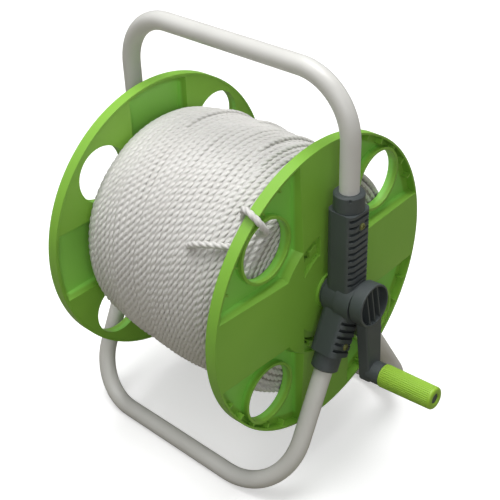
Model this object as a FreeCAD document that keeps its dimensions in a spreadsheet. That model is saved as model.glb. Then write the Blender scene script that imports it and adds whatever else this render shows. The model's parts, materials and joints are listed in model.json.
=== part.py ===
import FreeCAD, Part
import Sketcher
import os
from math import cos, sin, radians, pi
from FreeCAD import Vector, Rotation, Placement

# Hand-cranked line reel on a bent-tube stand.
# Working frame: X along the drum axis (crank at +X), front at -Y, Z up, drum axis at z = 0.
# Every finished piece is then moved by (shift_x, 0, shift_z), so the model stands on z = 0
# with its origin at the middle of its footprint.
#
# Names ending in _x are places along the drum axis, mirrored for the far side.
# A cutter runs 1 mm or more past the face it opens, and joined pieces lap by a similar amount.

doc = FreeCAD.newDocument("LineReel")
sheet = doc.addObject("Spreadsheet::Sheet", "Size")

# (alias, value in mm or degrees, or a formula on the aliases above it)
DIMENSIONS = [
    ("shift_x", -42.3), ("shift_z", 218.5),
    # flange rim, floor and raised plateau
    ("flange_rad", 157.5), ("rim_wall", 2.2), ("rim_in_x", 105.5), ("rim_out_x", 117.7),
    ("floor_in_x", 106.0), ("floor_thick", 2.5), ("floor_inset", 0.4),
    ("plateau_x", 121.0), ("plateau_wall", 2.3), ("dome_rad", 75.0),
    ("hollow_inset", 4.0), ("hollow_dome_inset", 2.0),
    # flange cross: four drafted bands and a middle disc
    ("band_half", 38.0), ("band_draft", 5.0), ("band_wall", 2.4), ("disc_rad", 71.0),
    # flange windows, and the gussets between them and the rim
    ("window_off", 84.0), ("window_rad", 30.8), ("window_ring", 2.8), ("window_ring_x", 116.5),
    ("gusset_thick", 1.6), ("gusset_in", 149.0), ("gusset_mid_extra", 2.5), ("gusset_x", 116.4),
    # flange hub
    ("hub_rad", 22.5), ("hub_in_x", 104.0), ("hub_web", 4.0),
    ("hub_ring_rad", 19.6), ("hub_ring_x", 123.4), ("key_hole", 13.2),
    # flange recesses that take the barrel tabs
    ("recess_in", 47.5), ("recess_out", 69.5), ("recess_near", 13.0), ("recess_far", 37.0),
    ("recess_x", 116.8), ("pad_thick", 2.4), ("pad_margin", 2.0), ("pad_rim", 1.2),
    ("snap_in", 55.4), ("snap_out", 61.6), ("snap_near", 17.0), ("snap_far", 33.0),
    ("snap_deep", 4.0),
    # barrel
    ("barrel_rad", 60.0), ("barrel_wall", 2.5), ("barrel_end_x", 114.2), ("split_gap", 0.05),
    ("web_half", 1.5), ("web_deep", 9.0),
    ("tab_near", 19.0), ("tab_far", 28.5), ("tab_x", 120.4), ("tab_lip", 3.6), ("tab_gap", 0.15),
    # line
    ("line_inner", 60.3), ("line_end_x", 105.7), ("line_dia", 6.6), ("line_hole_x", -70.0),
    ("line_hole_gap", 0.3), ("knot_rad", 7.0), ("knot_gap", 0.3),
    ("line_end_len", 20.0), ("stub_len", 18.0), ("stub_drop", 14.0),
    # tubes
    ("tube_rad", 9.5), ("tube_bore", 8.3), ("tube_x", 143.5), ("handle_top", 226.0),
    ("bend_top", 58.0), ("bend_foot_near", 76.0), ("bend_foot_far", 58.0),
    ("front_splay", 26.02), ("rear_splay", 31.28), ("seat_top", 30.0), ("seat_leg", 27.0),
    # brackets
    ("sleeve", 31.0), ("sleeve_round", 7.5), ("sleeve_top", 101.0), ("sleeve_leg", 59.3),
    ("spigot_rad", 17.0), ("spigot_x", 109.8), ("core_rad", 20.5),
    ("boss_rad", 22.0), ("boss_x", 161.2),
    ("slot_wide", 28.6), ("slot_tall", 3.0), ("slot_deep", 4.5), ("slot_pitch", 7.1),
    ("slot_first", 96.3), ("leg_slot_first", 17.1), ("leg_slot_tilt", 6.0), ("pad_rad", 5.2),
    # socket collars, each with one notch
    ("collar_rad", 15.0), ("collar_leg_rad", 13.8), ("collar_tall", 17.4), ("collar_gap", 0.25),
    ("collar_chamfer", 1.6), ("notch_x_near", 8.6), ("notch_x_far", 12.0),
    ("notch_y_near", 10.2), ("notch_y_far", 14.0), ("notch_low", 4.2), ("notch_high", 1.2),
    # tube screws: screw_side and screw_crown are fractions of the head's height and radius
    ("screw_top", 86.8), ("screw_leg", 47.2), ("screw_rad", 1.7), ("screw_reach", 1.5),
    ("screw_head", 3.6), ("screw_head_tall", 2.2), ("screw_gap", 0.02),
    ("screw_side", 0.45), ("screw_crown", 0.62),
    ("cross_half_len", 2.0), ("cross_half_wide", 0.45), ("cross_deep", 1.1),
    # crank cup
    ("cup_rad", 22.0), ("cup_base", 57.4), ("cup_mouth", 71.6), ("cup_round", 0.7),
    ("crank_wall", 2.1), ("crank_well", 9.0), ("crank_rib", 1.5), ("crank_rib_pitch", 8.1),
    ("crank_rib_recess", 1.3), ("crank_rib_turn", 7.0),
    # crank arm and peg
    ("lean_pivot_x", 106.0), ("lean", 3.4), ("arm_front", 71.0), ("arm_half_top", 13.0),
    ("arm_half_low", 9.7), ("arm_end", 88.0), ("arm_start", 8.0), ("arm_round", 2.4),
    ("throw", 78.6), ("peg_collar_rad", 11.4), ("peg_collar_x", 81.4), ("peg_rad", 5.0),
    ("peg_end", 140.4), ("peg_bead", 5.5), ("bead_at", 123.8), ("bead_wide", 2.0),
    # crank grip
    ("grip_start", 81.8), ("grip_len", 60.0), ("grip_rad_in", 12.1), ("grip_rad_out", 11.5),
    ("grip_round_in", 0.8), ("grip_round", 2.6), ("grip_flare", 1.2), ("bead_gap", 0.08),
    ("bead_side_gap", 0.3), ("flute_rad", 0.6), ("flute_off", 0.13), ("flute_inset", 2.5),
    ("flute_short", 5.5),
    # shafts, washers and clips
    ("journal_rad", 9.5), ("journal_end_x", 166.0), ("journal_gap", 0.05),
    ("key_side", 13.0), ("key_end_x", 98.6), ("key_tip_step", 0.8),
    ("washer_rad", 16.6), ("washer_bore", 9.6), ("washer_gap", 0.1),
    ("clip_rad", 12.6), ("clip_thick", 1.2), ("clip_gap", 0.1), ("clip_eye_gap", 0.03),
    ("slit_start", 8.0), ("slit_len", 2.9), ("slit_wide", 0.8),
    # far side axle cap
    ("cap_x", 161.9), ("cap_face_x", 168.2), ("cap_rad", 21.0), ("cap_bevel", 1.5),
    ("cap_lip", 5.0), ("cap_dish", 1.2),
    # radial clearance between mating round pieces, and the bores it gives
    ("run_fit", 0.06), ("hub_bore", "=spigot_rad+run_fit"), ("socket_bore", "=tube_rad+run_fit"),
    ("shaft_bore", "=journal_rad+run_fit"), ("screw_hole", "=screw_rad+run_fit"),
    ("grip_bore", "=peg_rad+run_fit"),
    # the foot bars rest on the ground, shift_z below the drum axis
    ("foot_drop", "=(shift_z-tube_rad)/cos(front_splay)"),
    ("foot_drop_back", "=(shift_z-tube_rad)/cos(rear_splay)"),
    # faces shared by several pieces
    ("hub_seat_x", "=hub_in_x+hub_web"), ("barrel_in", "=barrel_rad-barrel_wall"),
    ("sleeve_face", "=tube_x+sleeve/2"), ("sleeve_flat", "=sleeve/2-sleeve_round"),
    ("line_rad", "=line_dia/2-0.1"), ("arm_back", "=cup_base"),
]

X_AXIS, Y_AXIS, Z_AXIS = (1, 0, 0), (0, 1, 0), (0, 0, 1)
SIDES = (("crank_side", 1), ("far_side", -1))
# (sign of y, sign of z, direction of the quadrant's middle in degrees from +Y towards +Z)
QUADRANTS = ((-1, -1, 225), (-1, 1, 135), (1, -1, 315), (1, 1, 45))
GUSSET_ANGLES = (-20, -10, 0, 10, 20)
# turn about X that carries an upright sleeve to the front and the rear leg
FRONT_LEG, REAR_LEG = "180-Size.front_splay", "180+Size.rear_splay"
LEG_SLOTS = 6
TOP_SLOTS = 11
FLUTES = 36
PARTS = {}


# ---------------------------------------------------------------- helpers
def text(size):
    """A size as an expression; sizes are numbers or expressions on the sheet."""
    return size if isinstance(size, str) else repr(float(size))


for row, (alias, value) in enumerate(DIMENSIONS, 1):
    sheet.set("A%d" % row, alias)
    sheet.set("B%d" % row, text(value))
    sheet.setAlias("B%d" % row, alias)
doc.recompute()


def val(alias):
    return float(sheet.get(alias))


def bind(shape, prop, size):
    shape.setExpression(prop, text(size))


def make(kind, **sizes):
    """A Part primitive with its properties bound."""
    shape = doc.addObject("Part::" + kind, kind)
    for prop, size in sizes.items():
        bind(shape, prop, size)
    return shape


def place(shape, x, y, z, axis=None, angle=0.0):
    if axis is not None:
        shape.Placement = Placement(Vector(0, 0, 0), Rotation(Vector(*axis), angle))
    bind(shape, "Placement.Base.x", x)
    bind(shape, "Placement.Base.y", y)
    bind(shape, "Placement.Base.z", z)
    return shape


def mirrored(x, side):
    """An x expression, negated on the far side."""
    return text(x) if side > 0 else "-(%s)" % text(x)


def span(start, end):
    return "(%s)-(%s)" % (text(end), text(start))


def cyl_x(radius, x_from, x_to, side=1, y=0.0, z=0.0):
    shape = make("Cylinder", Radius=radius, Height=span(x_from, x_to))
    return place(shape, mirrored(x_from if side > 0 else x_to, side), y, z, Y_AXIS, 90)


def cyl_z(radius, z_from, z_to, x=0.0, y=0.0):
    return place(make("Cylinder", Radius=radius, Height=span(z_from, z_to)), x, y, z_from)


def cone_x(radius_from, radius_to, x_from, x_to, side=1, z=0.0):
    shape = make("Cone", Radius1=radius_from, Radius2=radius_to, Height=span(x_from, x_to))
    return place(shape, mirrored(x_from, side), 0, z, Y_AXIS, 90 * side)


def box(x_from, x_to, y_from, y_to, z_from, z_to, side=1):
    shape = make("Box", Length=span(x_from, x_to), Width=span(y_from, y_to),
                 Height=span(z_from, z_to))
    return place(shape, mirrored(x_from if side > 0 else x_to, side), y_from, z_from)


def radial_plate(x, x_length, start, length, thick, degrees):
    """Plate standing along a radius of the drum axis, centred on that radius."""
    plate = make("Box", Length=x_length, Width=length, Height=thick)
    along, across = cos(radians(degrees)), sin(radians(degrees))
    return place(plate, x, "(%s)*%.9f+%s/2*%.9f" % (start, along, thick, across),
                 "(%s)*%.9f-%s/2*%.9f" % (start, across, thick, along), X_AXIS, degrees)


def fuse(*shapes):
    joined = doc.addObject("Part::MultiFuse", "Fuse")
    joined.Shapes = list(shapes)
    joined.Refine = True
    return joined


def common(first, second):
    shared = doc.addObject("Part::MultiCommon", "Common")
    shared.Shapes = [first, second]
    return shared


def cut(base, *tools):
    result = doc.addObject("Part::Cut", "Cut")
    result.Base = base
    result.Tool = tools[0] if len(tools) == 1 else fuse(*tools)
    result.Refine = True
    return result


def turn(shape, axis, angle):
    """Bind a turn about an axis; the starting 1 degree makes the placement hold the axis."""
    shape.Placement = Placement(Vector(0, 0, 0), Rotation(Vector(*axis), 1.0))
    bind(shape, "Placement.Rotation.Angle", angle)


def turned(shapes, axis, angle, x=0.0, z=0.0):
    """Shapes fused and turned as one about an axis through the origin, then moved to x, z."""
    # a MultiFuse needs two shapes, so a single one is listed twice
    joined = fuse(*shapes) if len(shapes) > 1 else fuse(shapes[0], shapes[0])
    turn(joined, axis, angle)
    return place(joined, x, 0.0, z)


def fillet(base, edge_radius):
    """Round the edges for which edge_radius(edge) isn't zero."""
    rounded = doc.addObject("Part::Fillet", "Rounded")
    rounded.Base = base
    doc.recompute()
    picked = []
    for i, edge in enumerate(base.Shape.Edges, 1):
        radius = edge_radius(edge)
        if radius:
            picked.append((i, radius, radius))
    rounded.Edges = picked
    return rounded


def is_circle(edge):
    return edge.Curve.TypeId == "Part::GeomCircle"


def drive(sketch, constraint, expression):
    """Add a sketch dimension and bind it to the sheet."""
    i = sketch.addConstraint(constraint)
    sketch.setExpression("Constraints[%d]" % i, expression)


def sketch_on(body, role, name):
    plane = [f for f in body.Origin.OriginFeatures if f.Role == role][0]
    sketch = body.newObject("Sketcher::SketchObject", name)
    sketch.AttachmentSupport = [(plane, "")]
    sketch.MapMode = "FlatFace"
    return sketch


def finish(label, shape, x="Size.shift_x"):
    """Label a finished piece and move it from the working frame to the standing one."""
    bind(shape, "Placement.Base.x", x)
    bind(shape, "Placement.Base.z", "Size.shift_z")
    shape.Label = label
    PARTS[label] = shape


def sector(rad_in, rad_out, x_from, x_to, y_near, y_far, y_sign, z_sign, side=1):
    """Piece of a ring about the drum axis, cut square to Y, in one quadrant."""
    ring = cut(cyl_x(rad_out, x_from, x_to, side),
               cyl_x(rad_in, "(%s)-1" % x_from, "(%s)+1" % x_to, side))
    if y_sign < 0:
        y_near, y_far = "-(%s)" % y_far, "-(%s)" % y_near
    z_from, z_to = "0.5", "(%s)+1" % rad_out
    if z_sign < 0:
        z_from, z_to = "-(%s)-1" % rad_out, "-0.5"
    return common(ring, box("(%s)-2" % x_from, "(%s)+2" % x_to, y_near, y_far,
                            z_from, z_to, side))


# ---------------------------------------------------------------- flanges
def cross(half, disc, top):
    """Four drafted bands and a middle disc, from below the flange floor up to `top`."""
    base = "Size.floor_in_x-2.0"
    length, draft = "Size.flange_rad", "Size.band_draft"
    pieces = []
    # each band is a wedge whose own Y runs along the drum axis and own X across it
    for half_y, half_z, draft_y, draft_z in ((length, half, "0.0", draft),
                                             (half, length, draft, "0.0")):
        band = make("Wedge", Ymin=0.0, Ymax=span(base, top),
                    Xmin="-((%s)+(%s))" % (half_y, draft_y), Xmax="(%s)+(%s)" % (half_y, draft_y),
                    Zmin="-((%s)+(%s))" % (half_z, draft_z), Zmax="(%s)+(%s)" % (half_z, draft_z),
                    X2min="-(%s)" % half_y, X2max=half_y,
                    Z2min="-(%s)" % half_z, Z2max=half_z)
        pieces.append(place(band, base, 0, 0, Z_AXIS, -90))
    pieces.append(cone_x("(%s)+(%s)" % (disc, draft), disc, base, top))
    return fuse(*pieces)


def window_cyl(radius, x_from, x_to, y_sign, z_sign):
    return cyl_x(radius, x_from, x_to, 1, "%d*Size.window_off" % y_sign,
                 "%d*Size.window_off" % z_sign)


def gusset(middle, offset):
    """Rib against the rim; the middle one of each five starts further in."""
    start = "Size.gusset_in-Size.gusset_mid_extra" if offset == 0 else "Size.gusset_in"
    return radial_plate("Size.floor_in_x+0.5", "Size.gusset_x-Size.floor_in_x-0.5", start,
                        "Size.flange_rad-1-(%s)" % start, "Size.gusset_thick", middle + offset)


def flange_shell():
    """Rim, floor, window rings, gussets and the raised cross, hollow from the drum side."""
    rim = cut(cyl_x("Size.flange_rad", "Size.rim_in_x", "Size.rim_out_x"),
              cyl_x("Size.flange_rad-Size.rim_wall", "Size.rim_in_x-1", "Size.rim_out_x+1"))
    floor = cyl_x("Size.flange_rad-Size.floor_inset", "Size.floor_in_x",
                  "Size.floor_in_x+Size.floor_thick")
    outside = fuse(cyl_x("Size.flange_rad", "Size.floor_in_x", "Size.rim_out_x"),
                   cone_x("Size.flange_rad", "Size.dome_rad", "Size.rim_out_x", "Size.plateau_x"))
    bands = common(cross("Size.band_half", "Size.disc_rad", "Size.plateau_x"), outside)
    rings = [window_cyl("Size.window_rad+Size.window_ring", "Size.floor_in_x",
                        "Size.window_ring_x", y_sign, z_sign)
             for y_sign, z_sign, _ in QUADRANTS]
    ribs = [gusset(middle, offset) for _, _, middle in QUADRANTS for offset in GUSSET_ANGLES]
    body = fuse(rim, floor, bands, *rings, *ribs)

    inner_rad = "Size.flange_rad-Size.hollow_inset"
    shoulder, ceiling = "Size.rim_out_x-Size.plateau_wall", "Size.plateau_x-Size.plateau_wall"
    inside = fuse(cyl_x(inner_rad, "Size.rim_in_x-1", shoulder),
                  cone_x(inner_rad, "Size.dome_rad-Size.hollow_dome_inset", shoulder, ceiling))
    hollow = common(cross("Size.band_half-Size.band_wall", "Size.disc_rad-Size.band_wall",
                          ceiling), inside)
    return cut(body, hollow)


def flange(label, side):
    pads, recesses, windows = [], [], []
    for y_sign, z_sign, _ in QUADRANTS:
        windows.append(window_cyl("Size.window_rad", "Size.floor_in_x-1", "Size.window_ring_x+1",
                                  y_sign, z_sign))
        pads.append(sector("Size.recess_in-Size.pad_margin", "Size.recess_out+Size.pad_rim",
                           "Size.recess_x-Size.pad_thick", "Size.plateau_x-1",
                           "Size.recess_near-Size.pad_margin", "Size.recess_far+Size.pad_margin",
                           y_sign, z_sign))
        recesses.append(sector("Size.recess_in", "Size.recess_out",
                               "Size.recess_x", "Size.plateau_x+2",
                               "Size.recess_near", "Size.recess_far", y_sign, z_sign))
        recesses.append(sector("Size.snap_in", "Size.snap_out",
                               "Size.recess_x-Size.snap_deep", "Size.recess_x+1",
                               "Size.snap_near", "Size.snap_far", y_sign, z_sign))
    hub = fuse(flange_shell(), cyl_x("Size.hub_rad", "Size.hub_in_x", "Size.plateau_x"),
               cyl_x("Size.hub_ring_rad", "Size.plateau_x-1", "Size.hub_ring_x"))
    body = fuse(hub, *pads)
    bore = cyl_x("Size.hub_bore", "Size.hub_seat_x", "Size.hub_ring_x+1")
    half = "Size.key_hole/2"
    key = box("Size.hub_in_x-1", "Size.hub_seat_x+1", "-" + half, half, "-" + half, half)
    result = cut(body, bore, key, *windows, *recesses)
    if side < 0:
        result.Placement = Placement(Vector(0, 0, 0), Rotation(Vector(*Z_AXIS), 180))
    finish(label, result)


for word, side in SIDES:
    flange(word + "_flange", side)


# ---------------------------------------------------------------- barrel halves
def barrel_half(label, z_sign):
    ring = cut(cyl_x("Size.barrel_rad", "-Size.barrel_end_x", "Size.barrel_end_x"),
               cyl_x("Size.barrel_in", "-Size.barrel_end_x-1", "Size.barrel_end_x+1"))
    web = cut(cyl_x("Size.barrel_rad-1", "-Size.web_half", "Size.web_half"),
              cyl_x("Size.barrel_rad-Size.web_deep", "-2*Size.web_half", "2*Size.web_half"))
    if z_sign > 0:
        ring_z = ("Size.split_gap", "Size.barrel_rad+1")
        web_z = ("Size.split_gap", "Size.barrel_rad")
    else:
        ring_z = ("-Size.barrel_rad-1", "-Size.split_gap")
        web_z = ("-Size.barrel_rad", "-Size.split_gap")
    half = common(ring, box("-Size.barrel_end_x-2", "Size.barrel_end_x+2",
                            "-Size.barrel_rad-1", "Size.barrel_rad+1", *ring_z))
    # stiffening ring inside the half, at mid length
    web_part = common(web, box("-2*Size.web_half", "2*Size.web_half",
                               "-Size.barrel_rad", "Size.barrel_rad", *web_z))
    # end tabs, each with an outward lip beyond the flange recess
    tabs = []
    for side in (-1, 1):
        for y_sign in (-1, 1):
            for rad_out, x_from in (
                    ("Size.barrel_rad", "Size.barrel_end_x-4"),
                    ("Size.barrel_rad+Size.tab_lip", "Size.recess_x+Size.tab_gap")):
                tabs.append(sector("Size.barrel_in", rad_out, x_from, "Size.tab_x",
                                   "Size.tab_near", "Size.tab_far", y_sign, z_sign, side))
    shell = fuse(half, web_part, *tabs)
    if z_sign > 0:
        shell = cut(shell, cyl_z("Size.line_dia/2+Size.line_hole_gap", "Size.barrel_in-2",
                                 "Size.barrel_rad+2", "Size.line_hole_x"))
    finish(label, shell)


barrel_half("barrel_upper_half", 1)
barrel_half("barrel_lower_half", -1)


# ---------------------------------------------------------------- bent tubes
def u_tube(name, top, bend_near, bend_far, seat):
    """U-shaped tube in the XZ plane: two legs from z = seat up to the bar at z = top.

    The sizes are aliases; bend_near is the bend on the crank side.
    """
    body = doc.addObject("PartDesign::Body", name)
    path = sketch_on(body, "XZ_Plane", name + "_path")
    leg_x, top_z, seat_z = val("tube_x"), val(top), val(seat)
    near, far = val(bend_near), val(bend_far)
    up = Vector(0, 0, 1)
    near_centre = Vector(leg_x - near, top_z - near, 0)
    far_centre = Vector(-leg_x + far, top_z - far, 0)
    leg, near_arc, bar, far_arc, far_leg = [path.addGeometry(curve, False) for curve in (
        Part.LineSegment(Vector(leg_x, seat_z, 0), Vector(leg_x, top_z - near, 0)),
        Part.ArcOfCircle(Part.Circle(near_centre, up, near), 0, pi / 2),
        Part.LineSegment(Vector(leg_x - near, top_z, 0), Vector(-leg_x + far, top_z, 0)),
        Part.ArcOfCircle(Part.Circle(far_centre, up, far), pi / 2, pi),
        Part.LineSegment(Vector(-leg_x, top_z - far, 0), Vector(-leg_x, seat_z, 0)),
    )]
    Constraint = Sketcher.Constraint
    path.addConstraint([Constraint("Tangent", leg, 2, near_arc, 1),
                        Constraint("Tangent", near_arc, 2, bar, 1),
                        Constraint("Tangent", bar, 2, far_arc, 1),
                        Constraint("Tangent", far_arc, 2, far_leg, 1),
                        Constraint("Vertical", leg),
                        Constraint("Horizontal", bar),
                        Constraint("Vertical", far_leg)])
    drive(path, Constraint("DistanceX", -1, 1, leg, 1, leg_x), "Size.tube_x")
    drive(path, Constraint("DistanceY", -1, 1, leg, 1, seat_z), "Size." + seat)
    drive(path, Constraint("DistanceX", far_leg, 2, -1, 1, leg_x), "Size.tube_x")
    drive(path, Constraint("DistanceY", -1, 1, far_leg, 2, seat_z), "Size." + seat)
    drive(path, Constraint("DistanceY", -1, 1, bar, 1, top_z), "Size." + top)
    drive(path, Constraint("Radius", near_arc, near), "Size." + bend_near)
    drive(path, Constraint("Radius", far_arc, far), "Size." + bend_far)

    section = sketch_on(body, "XY_Plane", name + "_section")
    bind(section, "AttachmentOffset.Base.z", "Size." + seat)
    for alias in ("tube_rad", "tube_bore"):
        circle = section.addGeometry(Part.Circle(Vector(leg_x, 0, 0), up, val(alias)), False)
        drive(section, Constraint("Radius", circle, val(alias)), "Size." + alias)
        drive(section, Constraint("DistanceX", -1, 1, circle, 3, leg_x), "Size.tube_x")
        section.addConstraint(Constraint("PointOnObject", circle, 3, -1))
    pipe = body.newObject("PartDesign::AdditivePipe", name + "_pipe")
    pipe.Profile = section
    pipe.Spine = (path, ["Edge%d" % k for k in range(1, 6)])
    pipe.Mode = "Standard"
    body.Tip = pipe
    return body


def tube_part(label, tube, screw_z, angle=None):
    """Tube with one screw hole through the outer wall of each leg."""
    holes = [cyl_x("Size.screw_hole", "Size.tube_x+Size.tube_bore-2",
                   "Size.tube_x+Size.tube_rad+2", side, z=screw_z) for side in (1, -1)]
    drilled = cut(tube, *holes)
    if angle:
        turn(drilled, X_AXIS, angle)
    finish(label, drilled)


tube_part("carry_handle_tube",
          u_tube("HandleTube", "handle_top", "bend_top", "bend_top", "seat_top"),
          "Size.screw_top")
for label, name, drop, angle in (("front_foot_tube", "FrontFoot", "foot_drop", FRONT_LEG),
                                 ("rear_foot_tube", "RearFoot", "foot_drop_back", REAR_LEG)):
    tube_part(label, u_tube(name, drop, "bend_foot_near", "bend_foot_far", "seat_leg"),
              "Size.screw_leg", angle)


# ---------------------------------------------------------------- brackets
def rounded_bar(top, side):
    """Square bar with rounded upright edges around the tube axis, from z = 0 to top."""
    half, flat = "Size.sleeve/2", "Size.sleeve_flat"
    pieces = [box("Size.tube_x-" + half, "Size.tube_x+" + half, "-" + flat, flat, 0.0, top, side),
              box("Size.tube_x-" + flat, "Size.tube_x+" + flat, "-" + half, half, 0.0, top, side)]
    for x_sign in (-1, 1):
        for y_sign in (-1, 1):
            x = "Size.tube_x%+d*%s" % (x_sign, flat)
            pieces.append(cyl_z("Size.sleeve_round", 0.0, top, mirrored(x, side),
                                "%+d*%s" % (y_sign, flat)))
    return fuse(*pieces)


def slots(first, number, side, tilt=None):
    """Row of slots across the outer face of a sleeve, running out round its edges."""
    row = []
    for k in range(number):
        z = "(%s+%d*Size.slot_pitch)" % (first, k)
        base = z if tilt is None else ""
        slot = box("Size.sleeve_face-Size.slot_deep", "Size.sleeve_face+1",
                   "-Size.slot_wide/2", "Size.slot_wide/2",
                   base + "-Size.slot_tall/2", (base or "0.0") + "+Size.slot_tall/2", side)
        row.append(slot if tilt is None else turned([slot], X_AXIS, tilt, z=z))
    return row


def sleeve(top, slot_row, screw_z, side):
    """Slotted upright sleeve with a round pad for the screw head."""
    pad = cyl_x("Size.pad_rad", "Size.sleeve_face-Size.slot_deep-0.5", "Size.sleeve_face",
                side, z=screw_z)
    return fuse(cut(rounded_bar(top, side), *slot_row), pad)


def sleeve_bores(seat, top, screw_z, side):
    return [cyl_z("Size.socket_bore", seat, top + "+1", mirrored("Size.tube_x", side)),
            cyl_x("Size.screw_hole", "Size.tube_x", "Size.sleeve_face+1", side, z=screw_z)]


def bracket(label, side):
    top_slots = slots("Size.slot_first-%d*Size.slot_pitch" % (TOP_SLOTS - 1), TOP_SLOTS, side)
    solids = [sleeve("Size.sleeve_top", top_slots, "Size.screw_top", side)]
    tools = sleeve_bores("Size.seat_top", "Size.sleeve_top", "Size.screw_top", side)
    for angle, tilt in ((FRONT_LEG, "-Size.leg_slot_tilt"), (REAR_LEG, "Size.leg_slot_tilt")):
        leg_slots = slots("Size.leg_slot_first", LEG_SLOTS, side, tilt)
        leg = sleeve("Size.sleeve_leg", leg_slots, "Size.screw_leg", side)
        bores = sleeve_bores("Size.seat_leg", "Size.sleeve_leg", "Size.screw_leg", side)
        solids.append(turned([leg], X_AXIS, angle))
        tools.append(turned(bores, X_AXIS, angle))
    solids.append(cyl_x("Size.core_rad", "Size.tube_x-Size.sleeve/2", "Size.sleeve_face", side))
    solids.append(cyl_x("Size.boss_rad", "Size.tube_x", "Size.boss_x", side))
    solids.append(cyl_x("Size.spigot_rad", "Size.spigot_x", "Size.tube_x", side))
    tools.append(cyl_x("Size.shaft_bore", "Size.spigot_x-1", "Size.boss_x+1", side))
    finish(label, cut(fuse(*solids), *tools))


for word, side in SIDES:
    bracket(word + "_bracket", side)


# ---------------------------------------------------------------- socket collars and screws
def collar(side, sleeve_end, radius):
    """Ring with a bevelled top edge and one small notch, around the tube axis."""
    base = sleeve_end + "+Size.collar_gap"
    top = base + "+Size.collar_tall"
    shoulder = top + "-Size.collar_chamfer"
    axis_x = mirrored("Size.tube_x", side)
    bevel = make("Cone", Radius1=radius, Radius2=radius + "-Size.collar_chamfer",
                 Height="Size.collar_chamfer")
    place(bevel, axis_x, 0, shoulder)
    solid = fuse(cyl_z(radius, base, shoulder, axis_x), bevel)
    notch = box("Size.tube_x+Size.notch_x_near", "Size.tube_x+Size.notch_x_far",
                "-Size.notch_y_far", "-Size.notch_y_near",
                top + "-Size.notch_low", top + "-Size.notch_high", side)
    return cut(solid, cyl_z("Size.socket_bore", base + "-1", top + "+1", axis_x), notch)


def screw(side, z):
    """Pan-head screw with a cross recess, driven inward along X."""
    edge = "Size.sleeve_face+Size.screw_head_tall*Size.screw_side"
    top = "Size.sleeve_face+Size.screw_head_tall"
    shank = cyl_x("Size.screw_rad", "Size.tube_x+Size.tube_bore-Size.screw_reach",
                  "Size.sleeve_face+0.3", side, z=z)
    head = cyl_x("Size.screw_head", "Size.sleeve_face+Size.screw_gap", edge, side, z=z)
    dome = cone_x("Size.screw_head", "Size.screw_head*Size.screw_crown", edge, top, side, z)
    recess = []
    for half_y, half_z in (("Size.cross_half_wide", "Size.cross_half_len"),
                           ("Size.cross_half_len", "Size.cross_half_wide")):
        recess.append(box(top + "-Size.cross_deep", top + "+1", "-" + half_y, half_y,
                          "%s-%s" % (z, half_z), "%s+%s" % (z, half_z), side))
    return cut(fuse(shank, head, dome), *recess)


def on_sleeves(label, top_piece, leg_pieces):
    """One piece on the top sleeve and one on each leg, kept as separate solids."""
    compound = doc.addObject("Part::Compound", "Group")
    compound.Links = [top_piece] + [turned([piece], X_AXIS, angle)
                                    for piece, angle in zip(leg_pieces, (FRONT_LEG, REAR_LEG))]
    finish(label, compound)


for word, side in SIDES:
    on_sleeves(word + "_socket_collars", collar(side, "Size.sleeve_top", "Size.collar_rad"),
               [collar(side, "Size.sleeve_leg", "Size.collar_leg_rad") for _ in range(2)])
    on_sleeves(word + "_tube_screws", screw(side, "Size.screw_top"),
               [screw(side, "Size.screw_leg") for _ in range(2)])


# ---------------------------------------------------------------- crank and far axle
def shaft(side, x_out):
    """Journal running in the bracket bore, then a square key for the flange hub."""
    journal = cyl_x("Size.journal_rad", "Size.hub_seat_x+Size.journal_gap", x_out, side)
    half = "Size.key_side/2"
    key = box("Size.key_end_x+1", "Size.spigot_x+1", "-" + half, half, "-" + half, half, side)
    low, high = "-" + half + "+Size.key_tip_step", half + "-Size.key_tip_step"
    tip = box("Size.key_end_x", "Size.key_end_x+1", low, high, low, high, side)
    return fuse(journal, key, tip)


def crank_cup():
    cup = cyl_x("Size.cup_rad", "Size.cup_base", "Size.cup_mouth")
    return fillet(cup, lambda edge: val("cup_round") if is_circle(edge) else 0)


def crank_lever():
    """Tapered arm hanging from the cup, rounded on every edge but those of its upper end."""
    # the wedge's own Y runs down the arm
    arm = make("Wedge", Ymin=0.0, Ymax="Size.arm_end-Size.arm_start",
               Xmin="Size.arm_back", Xmax="Size.arm_front",
               X2min="Size.arm_back", X2max="Size.arm_front",
               Zmin="-Size.arm_half_top", Zmax="Size.arm_half_top",
               Z2min="-Size.arm_half_low", Z2max="Size.arm_half_low")
    place(arm, 0, 0, "-Size.arm_start", X_AXIS, -90)

    def edge_radius(edge):
        middle = (edge.Vertexes[0].Point + edge.Vertexes[1].Point) * 0.5
        return val("arm_round") if middle.z < -val("arm_start") - 1 else 0

    return fillet(arm, edge_radius)


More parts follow.
